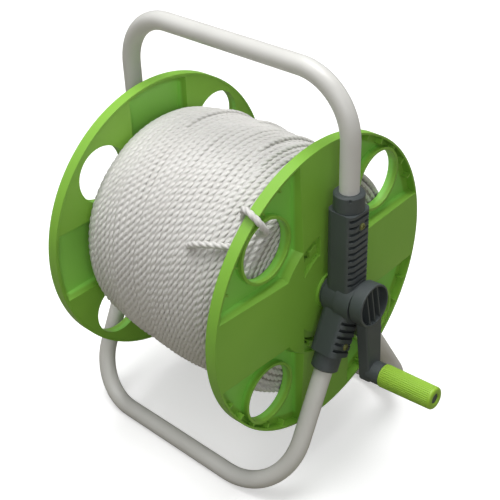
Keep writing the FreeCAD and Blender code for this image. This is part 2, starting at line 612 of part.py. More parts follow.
def crank():
    """Cup, arm and peg are square to each other, and lean together about lean_pivot_x."""
    cup = crank_cup()
    arm = crank_lever()
    peg_z = "-Size.throw"
    peg_collar = cyl_x("Size.peg_collar_rad", "Size.arm_front-4", "Size.peg_collar_x", z=peg_z)
    peg = cyl_x("Size.peg_rad", "Size.arm_front", "Size.peg_end", z=peg_z)
    bead = cyl_x("Size.peg_bead", "Size.bead_at", "Size.bead_at+Size.bead_wide", z=peg_z)
    well_floor = "Size.cup_mouth-Size.crank_well"
    well = cyl_x("Size.cup_rad-Size.crank_wall", well_floor, "Size.cup_mouth+1")
    ribs = []
    for k in (-1, 0, 1):
        y = "(%d*Size.crank_rib_pitch)" % k
        ribs.append(box(well_floor + "-0.5", "Size.cup_mouth-Size.crank_rib_recess",
                        y + "-Size.crank_rib/2", y + "+Size.crank_rib/2",
                        "-Size.cup_rad", "Size.cup_rad"))
    rib_set = common(turned(ribs, X_AXIS, "Size.crank_rib_turn"),
                     cyl_x("Size.cup_rad-1", well_floor + "-1", "Size.cup_mouth"))
    swing = turned([cut(fuse(cup, arm, peg_collar, peg, bead), well), rib_set],
                   Y_AXIS, "-Size.lean", "Size.lean_pivot_x")
    finish("crank_arm", fuse(swing, shaft(1, "Size.journal_end_x")))


def far_axle():
    """Bevelled, dished cap on the far shaft."""
    bevel_x = "Size.cap_face_x-Size.cap_bevel"
    cap = fuse(cyl_x("Size.cap_rad", "Size.cap_x", bevel_x, -1),
               cone_x("Size.cap_rad", "Size.cap_rad-Size.cap_bevel", bevel_x,
                      "Size.cap_face_x", -1))
    dish = cyl_x("Size.cap_rad-Size.cap_lip", "Size.cap_face_x-Size.cap_dish",
                 "Size.cap_face_x+1", -1)
    finish("far_axle_cap", fuse(cut(cap, dish), shaft(-1, "Size.cap_x+1")))


crank()
far_axle()


# ---------------------------------------------------------------- thrust washers and shaft clips
def washer(label, side):
    disc = cyl_x("Size.washer_rad", "Size.hub_seat_x+Size.washer_gap",
                 "Size.spigot_x-Size.washer_gap", side)
    bore = cyl_x("Size.washer_bore", "Size.hub_in_x", "Size.spigot_x+1", side)
    finish(label, cut(disc, bore))


def clip(label, side):
    """Round plate with a square eye and four corner slits, over the key end."""
    outer = "Size.hub_in_x-Size.clip_gap"
    inner = outer + "-Size.clip_thick"
    half = "(Size.key_side/2+Size.clip_eye_gap)"
    eye = box(inner + "-1", outer + "+1", "-" + half, half, "-" + half, half, side)
    slit_x = mirrored(inner + "-1" if side > 0 else outer + "+1", side)
    slits = [radial_plate(slit_x, "Size.clip_thick+2", "Size.slit_start", "Size.slit_len",
                          "Size.slit_wide", degrees) for degrees in (45, 135, 225, 315)]
    finish(label, cut(cyl_x("Size.clip_rad", inner, outer, side), eye, *slits))


for word, side in SIDES:
    washer(word + "_thrust_washer", side)
for word, side in SIDES:
    clip(word + "_shaft_clip", side)


# ---------------------------------------------------------------- crank grip
def flute(angle, slope):
    """Cutter for one shallow groove, following the grip's taper."""
    cutter = make("Cylinder", Radius="Size.flute_rad", Height="Size.grip_len-Size.flute_short")
    along = Vector(1, -slope * cos(angle), -slope * sin(angle))
    cutter.Placement = Placement(Vector(0, 0, 0), Rotation(Vector(*Z_AXIS), along))
    off_axis = "(Size.grip_rad_in+Size.flute_off)"
    return place(cutter, "Size.grip_start+Size.flute_inset",
                 "%s*%.9f" % (off_axis, cos(angle)),
                 "-Size.throw+%s*%.9f" % (off_axis, sin(angle)))


def grip():
    """Tapered, fluted sleeve on the peg, leaning with the crank."""
    grip_z = "-Size.throw"
    grip_end = "Size.grip_start+Size.grip_len"
    core = cone_x("Size.grip_rad_in", "Size.grip_rad_out", "Size.grip_start", grip_end, z=grip_z)

    def edge_radius(edge):
        if not is_circle(edge):
            return 0
        outer_end = edge.BoundBox.XMin > val("grip_start") + 5
        return val("grip_round") if outer_end else val("grip_round_in")

    rounded = fillet(core, edge_radius)
    slope = (val("grip_rad_in") - val("grip_rad_out")) / val("grip_len")
    flutes = [flute(2 * pi * k / FLUTES, slope) for k in range(FLUTES)]
    bore = cyl_x("Size.grip_bore", "Size.grip_start-1", grip_end + "+1", z=grip_z)
    # groove for the bead on the peg
    snap = cyl_x("Size.peg_bead+Size.bead_gap", "Size.bead_at-Size.bead_side_gap",
                 "Size.bead_at+Size.bead_wide+Size.bead_side_gap", z=grip_z)
    mouth_x = grip_end + "-Size.grip_flare+0.1"
    mouth = cone_x("Size.grip_bore", "Size.grip_bore+Size.grip_flare", mouth_x,
                   mouth_x + "+Size.grip_flare", z=grip_z)
    result = cut(rounded, bore, snap, mouth, *flutes)
    turn(result, Y_AXIS, "-Size.lean")
    finish("crank_grip", result, "Size.lean_pivot_x+Size.shift_x")


grip()


# ---------------------------------------------------------------- line
# outer surface of the wound line between its two ends: (x, radius)
WOUND_CREST = [(88.0, 127.5), (60.0, 131.0), (20.0, 132.5), (-20.0, 132.0), (-60.0, 130.5),
               (-90.0, 127.0)]
WOUND_CRANK_END_RAD = 122.0
WOUND_FAR_END_RAD = 113.5

# centre line of the free end: (x, radius, degrees about the drum axis from +Y towards +Z)
TAIL_PATH = [
    (38.0, 135.6, 146.4), (56.0, 136.4, 144.0), (75.0, 134.0, 141.6), (89.0, 131.6, 139.4),
    (96.5, 133.6, 136.4), (99.6, 142.0, 131.8), (99.8, 152.5, 128.4), (102.0, 160.4, 127.0),
    (108.5, 163.6, 127.3), (116.4, 162.9, 128.0), (121.9, 158.8, 128.7), (123.6, 151.0, 129.3),
    (121.8, 142.6, 129.5), (116.6, 135.8, 129.7), (108.2, 131.8, 130.8),
]


def wound():
    """The wound line as one solid turned about the drum axis."""
    body = doc.addObject("PartDesign::Body", "Wound")
    sketch = sketch_on(body, "XZ_Plane", "WoundProfile")
    end, inner = val("line_end_x"), val("line_inner")
    points = [(-end, inner), (end, inner), (end, WOUND_CRANK_END_RAD), *WOUND_CREST,
              (-end, WOUND_FAR_END_RAD)]
    count = len(points)
    lines = [sketch.addGeometry(Part.LineSegment(Vector(*points[i], 0),
                                                 Vector(*points[(i + 1) % count], 0)), False)
             for i in range(count)]
    Constraint = Sketcher.Constraint
    for i in range(count):
        sketch.addConstraint(Constraint("Coincident", lines[i], 2, lines[(i + 1) % count], 1))
    sketch.addConstraint(Constraint("Horizontal", lines[0]))
    sketch.addConstraint(Constraint("Vertical", lines[1]))
    sketch.addConstraint(Constraint("Vertical", lines[-1]))
    drive(sketch, Constraint("DistanceY", -1, 1, lines[0], 1, inner), "Size.line_inner")
    drive(sketch, Constraint("DistanceX", -1, 1, lines[0], 2, end), "Size.line_end_x")
    drive(sketch, Constraint("DistanceX", lines[0], 1, -1, 1, end), "Size.line_end_x")
    for i in range(2, count):
        x, radius = points[i]
        if 2 < i < count - 1:
            sketch.addConstraint(Constraint("DistanceX", -1, 1, lines[i], 1, x))
        sketch.addConstraint(Constraint("DistanceY", -1, 1, lines[i], 1, radius))
    revolution = body.newObject("PartDesign::Revolution", "WoundTurn")
    revolution.Profile = sketch
    revolution.ReferenceAxis = (sketch, ["H_Axis"])
    revolution.Angle = 360.0
    body.Tip = revolution
    finish("wound_line", body)


def tail():
    """Free end: leaves the coil, climbs inside the crank-side rim, crosses it, enters a window."""
    points = [Vector(x, radius * cos(radians(angle)), radius * sin(radians(angle)))
              for x, radius, angle in TAIL_PATH]
    curve = Part.BSplineCurve()
    curve.interpolate(points)
    start_direction = curve.tangent(curve.FirstParameter)[0]
    section = Part.Wire([Part.Circle(points[0], start_direction, val("line_rad")).toShape()])
    shape = doc.addObject("Part::Feature", "Tail")
    shape.Shape = Part.Wire([curve.toShape()]).makePipeShell([section], True, True)
    finish("line_tail", shape)


def inner_end():
    """Start of the line: passes through the barrel wall and is knotted inside."""
    x = "Size.line_hole_x"
    rope = make("Cylinder", Radius="Size.line_rad", Height="Size.line_end_len")
    place(rope, x, 0, "Size.line_inner-Size.line_end_len-0.3")
    knot = place(make("Sphere", Radius="Size.knot_rad"), x, 0,
                 "Size.barrel_in-Size.knot_rad-Size.knot_gap")
    stub = make("Cylinder", Radius="Size.line_rad", Height="Size.stub_len")
    place(stub, x, 0, "Size.barrel_in-Size.knot_rad*2-Size.stub_drop")
    finish("line_inner_end", fuse(rope, knot, stub))


wound()
tail()
inner_end()

# ---------------------------------------------------------------- check and export
doc.recompute()
bad = [o.Name for o in doc.Objects if "Invalid" in o.State or "Error" in o.State]
if bad:
    raise RuntimeError("objects in error: %s" % bad)
os.makedirs("parts", exist_ok=True)
for label, piece in PARTS.items():
    shape = piece.Shape
    if shape.isNull() or not shape.isValid():
        raise RuntimeError("bad shape: " + label)
    shape.exportStep("parts/%s.step" % label)
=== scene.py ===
"""Looks for a line reel: the wound three-strand line, the materials, and a lit floor.

The axle lies along x. Line paths are worked out in the drum frame: millimetres, origin on the
axle halfway between the flanges, with angles running from +y towards +z. The crank-side
flange is at +x and the camera looks from +x, -y and above.
"""

import json
import math
import random

import bpy
import numpy as np
from mathutils import Matrix, Vector


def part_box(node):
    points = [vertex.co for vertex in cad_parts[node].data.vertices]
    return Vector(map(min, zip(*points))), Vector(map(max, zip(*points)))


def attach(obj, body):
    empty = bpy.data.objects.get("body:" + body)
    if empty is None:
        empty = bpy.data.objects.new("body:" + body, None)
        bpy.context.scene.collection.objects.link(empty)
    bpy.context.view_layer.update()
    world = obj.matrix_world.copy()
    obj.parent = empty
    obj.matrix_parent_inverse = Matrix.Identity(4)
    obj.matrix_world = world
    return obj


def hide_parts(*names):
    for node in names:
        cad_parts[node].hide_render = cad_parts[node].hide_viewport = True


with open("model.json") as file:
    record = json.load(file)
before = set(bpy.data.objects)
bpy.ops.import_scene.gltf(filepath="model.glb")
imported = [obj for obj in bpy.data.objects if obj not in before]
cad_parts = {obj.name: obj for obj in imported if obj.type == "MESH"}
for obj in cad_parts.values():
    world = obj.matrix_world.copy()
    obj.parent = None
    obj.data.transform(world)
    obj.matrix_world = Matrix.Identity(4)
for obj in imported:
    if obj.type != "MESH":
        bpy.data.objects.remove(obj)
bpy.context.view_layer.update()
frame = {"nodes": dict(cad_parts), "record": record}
rng = random.Random(20413)


def box(name):
    """Low and high corner of a frame piece, in metres."""
    return [np.array(corner, float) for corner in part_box(name)]


# ------------------------------------------------------------------ driving dimensions
MM = 0.001
TURN = 2 * math.pi

near_low, near_high = box("crank_side_flange")
far_low, far_high = box("far_side_flange")
MID_X = 0.5 * (near_high[0] + far_low[0])
AXLE_Y = 0.5 * (near_low[1] + near_high[1])
AXLE_Z = 0.5 * (near_low[2] + near_high[2])
CENTRE = np.array([MID_X, AXLE_Y, AXLE_Z])

coil_low, coil_high = box("wound_line")
HALF = 0.5 * (coil_high[0] - coil_low[0]) / MM    # half width of the coil
ROPE = 3.3                                        # line radius
STEP = 1.05                # distance between sections along the coil


def to_world(points):
    """Drum frame in millimetres to the world in metres."""
    return CENTRE + np.asarray(points) * MM


def add_object(name, data):
    obj = bpy.data.objects.new(name, data)
    bpy.context.scene.collection.objects.link(obj)
    return obj


# ------------------------------------------------------------------ shader helpers
BLACK = (0, 0, 0)
WHITE = (1, 1, 1)


class Graph:
    """Adds nodes to one node tree; each method returns the output socket of what it adds."""

    def __init__(self, tree):
        self.tree = tree

    def add(self, kind, **settings):
        node = self.tree.nodes.new(kind)
        for key, value in settings.items():
            setattr(node, key, value)
        return node

    def feed(self, node, values):
        """Link or set inputs, given as {input name or index: socket, number or RGB}."""
        for key, value in values.items():
            if isinstance(value, bpy.types.NodeSocket):
                self.tree.links.new(value, node.inputs[key])
            elif isinstance(value, tuple):
                node.inputs[key].default_value = (*value, 1)
            else:
                node.inputs[key].default_value = value

    def math(self, operation, first, second=None, clamp=False):
        node = self.add("ShaderNodeMath", operation=operation, use_clamp=clamp)
        self.feed(node, {0: first} if second is None else {0: first, 1: second})
        return node.outputs[0]

    def times(self, first, second, clamp=False):
        return self.math("MULTIPLY", first, second, clamp)

    def minus(self, first, second):
        return self.math("SUBTRACT", first, second)

    def spread(self, factor, gain, offset):
        """factor * gain + offset"""
        return self.math("ADD", self.times(factor, gain), offset)

    def split(self, vector):
        node = self.add("ShaderNodeSeparateXYZ")
        self.feed(node, {0: vector})
        return node.outputs

    def object_coords(self):
        return self.add("ShaderNodeTexCoord").outputs["Object"]

    def noise(self, coords, scale, detail=3.0, rough=0.55, distort=0.0):
        node = self.add("ShaderNodeTexNoise")
        self.feed(node, {"Vector": coords, "Scale": scale, "Detail": detail,
                         "Roughness": rough, "Distortion": distort})
        return node.outputs["Fac"]

    def ramp(self, factor, stops):
        """Colour ramp through stops of (position, RGB)."""
        node = self.add("ShaderNodeValToRGB")
        elements = node.color_ramp.elements
        elements.remove(elements[-1])
        elements[0].position = stops[0][0]
        elements[0].color = (*stops[0][1], 1)
        for position, colour in stops[1:]:
            elements.new(position).color = (*colour, 1)
        self.feed(node, {"Fac": factor})
        return node.outputs["Color"]

    def mix(self, factor, under, over):
        node = self.add("ShaderNodeMix", data_type="RGBA")
        self.feed(node, {0: factor, 6: under, 7: over})
        return node.outputs[2]

    def bevel(self, radius):
        """Normal that rounds sharp edges by radius, in metres."""
        node = self.add("ShaderNodeBevel", samples=4)
        self.feed(node, {"Radius": radius})
        return node.outputs["Normal"]

    def bump(self, height, strength, distance, normal=None):
        node = self.add("ShaderNodeBump")
        self.feed(node, {"Strength": strength, "Distance": distance, "Height": height})
        if normal is not None:
            self.feed(node, {"Normal": normal})
        return node.outputs["Normal"]


def new_material(name):
    material = bpy.data.materials.new(name)
    material.use_nodes = True
    material.node_tree.nodes.clear()
    graph = Graph(material.node_tree)
    output = graph.add("ShaderNodeOutputMaterial")
    shader = graph.add("ShaderNodeBsdfPrincipled")
    graph.feed(output, {"Surface": shader.outputs["BSDF"]})
    return material, graph, shader


# ------------------------------------------------------------------ materials
def moulded(name, dark, base, light, rough, edge, grain=0.00006, specular=0.5):
    """Moulded plastic: slow colour drift, pale specks, scuffs and a fine grain."""
    material, graph, shader = new_material(name)
    coords = graph.object_coords()
    drift = graph.noise(coords, scale=9.0, detail=2.0)
    colour = graph.ramp(drift, [(0.30, dark), (0.52, base), (0.75, light)])
    speck = graph.noise(coords, scale=900.0, detail=2.0)
    scuff = graph.noise(coords, scale=55.0, detail=5.0, rough=0.7, distort=0.6)
    fine = graph.noise(coords, scale=1500.0, detail=2.0, rough=0.6)
    graph.feed(shader, {
        "Base Color": graph.mix(graph.times(speck, 0.12), colour, light),
        "Roughness": graph.spread(scuff, gain=0.16, offset=rough - 0.08),
        "Specular IOR Level": specular,
        "Normal": graph.bump(fine, strength=0.35, distance=grain, normal=graph.bevel(edge)),
    })
    return material


POCKET_FLOOR_X = 0.1135        # distance from MID_X that parts pocket floors from raised faces
POCKET_RADIUS = 0.1490         # the painted bounce light fades out at this radius from the axle
POCKET_FADE = 330.0            # steepness of both limits, per metre
# Painted bounce light: greener colours that pocket floors get in place of the light that bounces
# about in the pockets
OUTER_POCKET_BOUNCE_LIGHT = (0.262, 0.640, 0.098)
INNER_POCKET_BOUNCE_LIGHT = (0.310, 0.700, 0.112)


def paint_pocket_bounce_light(material):
    """Paint bounce light into the pocket floors on both sides of a flange: they get colours
    greener than its raised faces.
    """
    graph = Graph(material.node_tree)
    shader = next(n for n in graph.tree.nodes if n.type == "BSDF_PRINCIPLED")
    plain = shader.inputs["Base Color"].links[0].from_socket
    geometry = graph.add("ShaderNodeNewGeometry")
    x, y, z = graph.split(geometry.outputs["Position"])
    normal_x = graph.split(geometry.outputs["True Normal"])[0]

    # 1 on faces that look towards the middle of the drum
    side = graph.math("SIGN", graph.minus(x, MID_X))
    facing_in = graph.times(graph.times(normal_x, side), -1.0)
    inward = graph.math("GREATER_THAN", facing_in, 0.3)

    from_mid = graph.math("ABSOLUTE", graph.minus(x, MID_X))
    off_y = graph.minus(y, AXLE_Y)
    off_z = graph.minus(z, AXLE_Z)
    squares = graph.math("ADD", graph.times(off_y, off_y), graph.times(off_z, off_z))
    radius = graph.math("SQRT", squares)
    near_mid = graph.times(graph.minus(POCKET_FLOOR_X, from_mid), POCKET_FADE, clamp=True)
    within = graph.times(graph.minus(POCKET_RADIUS, radius), POCKET_FADE, clamp=True)
    inner = graph.times(inward, graph.minus(1.0, near_mid))
    outer = graph.times(graph.minus(1.0, inward), near_mid)
    # painted bounce light: the pocket floors get the greener colours, fading out beyond
    # POCKET_RADIUS
    colour = graph.mix(graph.times(outer, within), plain, OUTER_POCKET_BOUNCE_LIGHT)
    colour = graph.mix(graph.times(inner, within), colour, INNER_POCKET_BOUNCE_LIGHT)
    graph.feed(shader, {"Base Color": colour})
    return material


def powder_coat(name):
    """Satin white powder coat: orange peel, faint yellowing, light rub marks."""
    material, graph, shader = new_material(name)
    coords = graph.object_coords()
    drift = graph.noise(coords, scale=7.0)
    colour = graph.ramp(drift, [(0.3, (0.59, 0.585, 0.555)), (0.55, (0.65, 0.647, 0.618)),
                                (0.8, (0.69, 0.687, 0.66))])
    rub = graph.noise(coords, scale=120.0, detail=6.0, rough=0.75, distort=1.2)
    mark = graph.ramp(rub, [(0.66, BLACK), (0.74, WHITE)])
    peel = graph.noise(coords, scale=420.0, detail=2.0, rough=0.5)
    graph.feed(shader, {
        "Base Color": graph.mix(graph.times(mark, 0.10), colour, (0.42, 0.41, 0.39)),
        "Roughness": graph.spread(rub, gain=0.14, offset=0.30),
        "Normal": graph.bump(peel, strength=0.30, distance=0.00008),
        "Coat Weight": 0.15,
        "Coat Roughness": 0.22,
    })
    return material


def small_metal(name, dark, light):
    """Mottled metal for the screws and clips."""
    material, graph, shader = new_material(name)
    coords = graph.object_coords()
    mottle = graph.noise(coords, scale=300.0, detail=4.0)
    fine = graph.noise(coords, scale=1800.0, detail=2.0)
    graph.feed(shader, {
        "Base Color": graph.ramp(mottle, [(0.35, dark), (0.7, light)]),
        "Metallic": 0.85,
        "Roughness": graph.spread(mottle, gain=0.25, offset=0.24),
        "Normal": graph.bump(fine, strength=0.3, distance=0.00004, normal=graph.bevel(0.0003)),
    })
    return material


def fibre(name):
    """Line: fine yarns along each strand, a little sheen, painted shade in the grooves between
    strands.
    """
    material, graph, shader = new_material(name)
    uv_map = graph.add("ShaderNodeUVMap", uv_map="UVMap")
    # u counts strands round the section, v counts millimetres along
    u, v, _ = graph.split(uv_map.outputs["UV"])
    stretched = graph.add("ShaderNodeCombineXYZ")
    graph.feed(stretched, {0: graph.times(u, 34.0), 1: graph.times(v, 0.35)})
    yarn = graph.noise(stretched.outputs[0], scale=1.0, rough=0.6)
    coords = graph.object_coords()
    broad = graph.noise(coords, scale=14.0)
    blotch = graph.noise(coords, scale=95.0)
    depth = graph.add("ShaderNodeAttribute", attribute_name="deep").outputs["Fac"]

    colour = graph.ramp(broad, [(0.3, (0.60, 0.590, 0.562)), (0.55, (0.655, 0.646, 0.622)),
                                (0.8, (0.70, 0.692, 0.670))])
    colour = graph.mix(graph.times(blotch, 0.16), colour, (0.62, 0.605, 0.58))
    yarn_gap = graph.ramp(yarn, [(0.35, WHITE), (0.62, BLACK)])
    colour = graph.mix(graph.times(yarn_gap, 0.30), colour, (0.62, 0.61, 0.59))
    # painted shade: the line is darkened towards grey where the grooves between strands are
    # deepest
    groove = graph.ramp(depth, [(0.0, BLACK), (0.55, (0.10, 0.10, 0.10)), (1.0, WHITE)])
    colour = graph.mix(graph.times(groove, 0.12), colour, (0.38, 0.365, 0.34))
    graph.feed(shader, {
        "Base Color": colour,
        "Roughness": graph.spread(yarn, gain=0.25, offset=0.36),
        "Sheen Weight": 0.15,
        "Specular IOR Level": 0.45,
        "Normal": graph.bump(yarn, strength=0.5, distance=0.0002),
    })
    return material


def shaded_deep_line(name):
    """Darker, rough stand-in for line far down in the coil: its dark colour is painted shade."""
    material, graph, shader = new_material(name)
    mottle = graph.noise(graph.object_coords(), scale=160.0, detail=4.0)
    graph.feed(shader, {
        "Base Color": graph.ramp(mottle, [(0.3, (0.22, 0.21, 0.19)), (0.7, (0.42, 0.40, 0.37))]),
        "Roughness": 0.8,
        "Normal": graph.bump(mottle, strength=0.8, distance=0.001),
    })
    return material


MATERIALS = {
    # the pocket floors of this green carry painted bounce light
    "green_plastic": paint_pocket_bounce_light(moulded(
        "GreenPlastic", dark=(0.204, 0.448, 0.048), base=(0.226, 0.480, 0.053),
        light=(0.250, 0.512, 0.058), rough=0.42, edge=0.0006, grain=0.00005, specular=0.40)),
    "lime_plastic": moulded(
        "LimeGrip", dark=(0.27, 0.48, 0.034), base=(0.30, 0.52, 0.040),
        light=(0.33, 0.56, 0.050), rough=0.46, edge=0.0004, grain=0.00008),
    "grey_plastic": moulded(
        "GreyPlastic", dark=(0.052, 0.063, 0.066), base=(0.062, 0.074, 0.076),
        light=(0.078, 0.092, 0.095), rough=0.50, edge=0.0007, grain=0.00009),
    "white_tube": powder_coat("WhitePowderCoat"),
    "screw_steel": small_metal("YellowZinc", dark=(0.20, 0.22, 0.07), light=(0.34, 0.36, 0.14)),
    "clip_steel": small_metal("SpringSteel", dark=(0.30, 0.30, 0.31), light=(0.55, 0.55, 0.56)),
    "nylon": moulded(
        "Nylon", dark=(0.66, 0.64, 0.57), base=(0.72, 0.70, 0.64),
        light=(0.78, 0.76, 0.70), rough=0.40, edge=0.0002),
    "line_fibre": fibre("LineFibre"),
}
slot_of = {part["node"]: part["material_slot"] for part in frame["record"]["subparts"]}
for node_name, piece in frame["nodes"].items():
    piece.data.materials.clear()
    piece.data.materials.append(MATERIALS[slot_of[node_name]])


# ------------------------------------------------------------------ twisted line
LAY = 23.0                        # length of one full turn of the strands
STRANDS = 3
STRAND_POINTS = 5                 # section points per strand
GROOVE = 0.47                     # part of the groove between strands that fibres leave open
PRESS_TALL, PRESS_WIDE = 0.93, 1.29    # a wound turn is pressed wider than it is tall


def strand_outline():
    """Angle, radius and groove depth (0 to 1) of the points round the section."""
    strand = ROPE / (1 + 2 / math.sqrt(3))
    offset = 2 / math.sqrt(3) * strand          # strand centres from the middle of the line
    sector = TURN / STRANDS
    angles, radii = [], []
    for i in range(STRANDS):
        for j in range(STRAND_POINTS):
            angle = (j / STRAND_POINTS - 0.5) * sector
            half_chord = math.sqrt(max(strand ** 2 - (offset * math.sin(angle)) ** 2, 0.0))
            angles.append(i * sector + angle)
            radii.append(offset * math.cos(angle) + half_chord)
    radii = np.array(radii)
    depth = (radii.max() - radii) / (radii.max() - radii.min())
    return np.array(angles), ROPE - GROOVE * (ROPE - radii), depth


SECTION_ANGLES, SECTION_RADII, SECTION_DEPTH = strand_outline()
SECTION = len(SECTION_ANGLES)


def normalised(vectors):
    return vectors / np.linalg.norm(vectors, axis=1)[:, None]


def tangents(path):
    return normalised(np.gradient(path, axis=0))


def radial(path):
    """Unit vectors from the axle out to each point."""
    return normalised(path * (0.0, 1.0, 1.0))


def transported(path):
    """Side vectors carried along the path without twisting."""
    tangent = tangents(path)
    side = np.cross(tangent[0], [0.3, 0.2, 1.0])
    sides = [side / np.linalg.norm(side)]
    for i in range(1, len(path)):
        side = sides[-1] - np.dot(sides[-1], tangent[i]) * tangent[i]
        sides.append(side / np.linalg.norm(side))
    return np.array(sides)


def resample(path, step):
    """Evenly spaced points along the path, and their distances from its start."""
    lengths = np.linalg.norm(np.diff(path, axis=0), axis=1)
    distance = np.r_[0, np.cumsum(lengths)]
    along = np.linspace(0, distance[-1], int(round(distance[-1] / step)) + 1)
    return np.stack([np.interp(along, distance, path[:, i]) for i in range(3)], 1), along


def line_run(path, along, up, phase, scale=1.0, pressed=True):
    """Vertices, quads, uv, groove depth and end caps of line along a path."""
    tangent = tangents(path)
    up = normalised(up - (up * tangent).sum(1)[:, None] * tangent)
    side = np.cross(tangent, up)
    tall, wide = (PRESS_TALL, PRESS_WIDE) if pressed else (1.0, 1.0)
    angle = SECTION_ANGLES[None, :] + (TURN * along / LAY + phase)[:, None]
    radius = SECTION_RADII[None, :] * scale
    points = (path[:, None, :]
              + (tall * radius * np.cos(angle))[..., None] * up[:, None, :]
              + (wide * radius * np.sin(angle))[..., None] * side[:, None, :])

    count = len(path)
    i = np.arange(count - 1)[:, None] * SECTION
    j = np.arange(SECTION)[None, :]
    j_next = (j + 1) % SECTION
    quads = np.stack([i + j, i + j_next, i + SECTION + j_next, i + SECTION + j], -1)

    u0 = np.tile(j / STRAND_POINTS, (count - 1, 1))
    u1 = np.tile((j + 1) / STRAND_POINTS, (count - 1, 1))
    v0 = np.tile(along[:-1, None], (1, SECTION))
    v1 = np.tile(along[1:, None], (1, SECTION))
    corners = ((u0, v0), (u1, v0), (u1, v1), (u0, v1))
    uv = np.stack([np.stack(corner, -1) for corner in corners], 2)

    ring = np.arange(SECTION)
    caps = np.stack([ring[::-1], ring + (count - 1) * SECTION])
    return (points.reshape(-1, 3), quads.reshape(-1, 4), uv.reshape(-1, 2),
            np.tile(SECTION_DEPTH, count), caps)


def wound_run(path, step, phase, scale=1.0):
    """Line pressed onto the coil along a path."""
    path, along = resample(path, step)
    return line_run(path, along, radial(path), phase, scale)


def add_drum_line(name, mesh, material):
    obj = add_object(name, mesh)
    mesh.materials.append(material)
    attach(obj, "drum")
    return obj


def line_piece(name, runs):
    """One object from several runs of line."""
    points, quads, uvs, depths, caps = zip(*runs)
    first = np.cumsum([0] + [len(p) for p in points[:-1]])
    quads = np.concatenate([q + base for q, base in zip(quads, first)])
    caps = np.concatenate([c + base for c, base in zip(caps, first)])
    points = to_world(np.concatenate(points))
    loops = np.r_[quads.ravel(), caps.ravel()]
    starts = np.r_[np.arange(len(quads)) * 4, quads.size + np.arange(len(caps)) * SECTION]
    uv = np.zeros((len(loops), 2), np.float32)
    uv[:quads.size] = np.concatenate(uvs)

    mesh = bpy.data.meshes.new(name)
    mesh.vertices.add(len(points))
    mesh.vertices.foreach_set("co", points.astype(np.float32).ravel())
    mesh.loops.add(len(loops))
    mesh.loops.foreach_set("vertex_index", loops.astype(np.int32))
    mesh.polygons.add(len(starts))
    mesh.polygons.foreach_set("loop_start", starts.astype(np.int32))
    mesh.update(calc_edges=True)
    mesh.uv_layers.new(name="UVMap").data.foreach_set("uv", uv.ravel())
    deep = mesh.attributes.new("deep", "FLOAT", "POINT")
    deep.data.foreach_set("value", np.concatenate(depths).astype(np.float32))
    mesh.polygons.foreach_set("use_smooth", np.ones(len(starts), bool))
    mesh.validate()
    return add_drum_line(name, mesh, MATERIALS["line_fibre"])


# ------------------------------------------------------------------ the shape of the coil
# (x, outer radius)
COIL_OUTLINE = [
    (-HALF, 112.5), (-100, 120.5), (-90, 126.0), (-60, 129.6), (-20, 131.2),
    (20, 131.6), (60, 130.2), (88, 126.7), (100, 124.0), (HALF, 121.0),
]
# The coil is slack round two angles: (degrees, [(x, drop in radius)])
SLACK = [
    (48, [(-HALF, 0), (-30, 0), (30, 2.6), (62, 5.2), (95, 6.0), (HALF, 5.0)]),
    (222, [(-HALF, 4.2), (-85, 4.2), (-55, 2.4), (0, 0), (HALF, 0)]),
]
# Sideways drift of a turn: (amplitude, waves per turn, phase, phase per mm of x)
WANDER = [
    (7.5, 1, math.radians(-152), 0),
    (2.4, 2, 0.8, 0),
    (1.3, 3, 0, 0.03),
    (0.7, 7, 0, 0.11),
]


def lookup(x, stations):
    return np.interp(x, *zip(*stations))


def coil_radius(x, angle):
    radius = lookup(x, COIL_OUTLINE)
    for degrees, drops in SLACK:
        nearness = np.clip(np.cos(angle - math.radians(degrees)), 0, 1) ** 2
        radius = radius - lookup(x, drops) * nearness
    return radius


def drift(x, angle):
    """Sideways drift of hand-laid turns; it dies out at the ends of the coil."""
    total = sum(size * np.sin(waves * angle + phase + x * shift)
                for size, waves, phase, shift in WANDER)
    return total * (1 - (np.abs(x) / HALF) ** 4) * (1 - 0.35 * x / HALF)


def around(x, radius, angle):
    """Path from x, radius and angle round the axle."""
    return np.stack([x, radius * np.cos(angle), radius * np.sin(angle)], 1)


# ------------------------------------------------------------------ the two wound layers
SMOOTHING = 181                   # samples, half a turn


def turn_places(turns, gaps, reach):
    """Uneven x places of the turns from -reach to reach."""
    gaps = [rng.uniform(*gaps) for _ in range(turns - 1)]
    scale = 2 * reach / sum(gaps)
    return np.cumsum([-reach] + [gap * scale for gap in gaps])


def layer_path(turns, gaps, reach, seed, drop=0.0, wander=1.0, start=0.0, backwards=False):
    """One layer as a single helix with uneven pitch, drop below the coil's outline."""
    places = turn_places(turns, gaps, reach)
    if backwards:
        places = places[::-1]
    turned = np.linspace(0, TURN * (turns - 1), (turns - 1) * 360)
    turn = turned / TURN
    angle = turned + start

    x = np.interp(turn, np.arange(turns), places)
    kernel = np.hanning(SMOOTHING)
    x = np.convolve(np.pad(x, SMOOTHING // 2, "edge"), kernel / kernel.sum(), "valid")
    x = x + wander * drift(x, angle)
    limit = HALF - ROPE - 0.1
    x = np.clip(x, -limit, limit)

    # slow bumps, different for each turn
    heights = np.random.default_rng(seed).uniform(-1, 1, turns + 1)
    lump = np.interp(turn, np.arange(turns + 1), heights)
    ripple = 0.35 * np.sin(5 * turned + 3 * turn) * lump
    return around(x, coil_radius(x, angle) - drop - ROPE + 0.75 * lump + ripple, angle)


def layer_pieces(name, path, phase, pieces=3):
    """The layer cut into consecutive objects."""
    path, along = resample(path, STEP)
    cuts = np.linspace(0, len(path) - 1, pieces + 1).astype(int)
    made = []
    for i in range(pieces):
        span = slice(cuts[i], cuts[i + 1] + 1)
        run = line_run(path[span], along[span], radial(path[span]), phase)
        made.append(line_piece("%s.%02d" % (name, i), [run]))
    return made


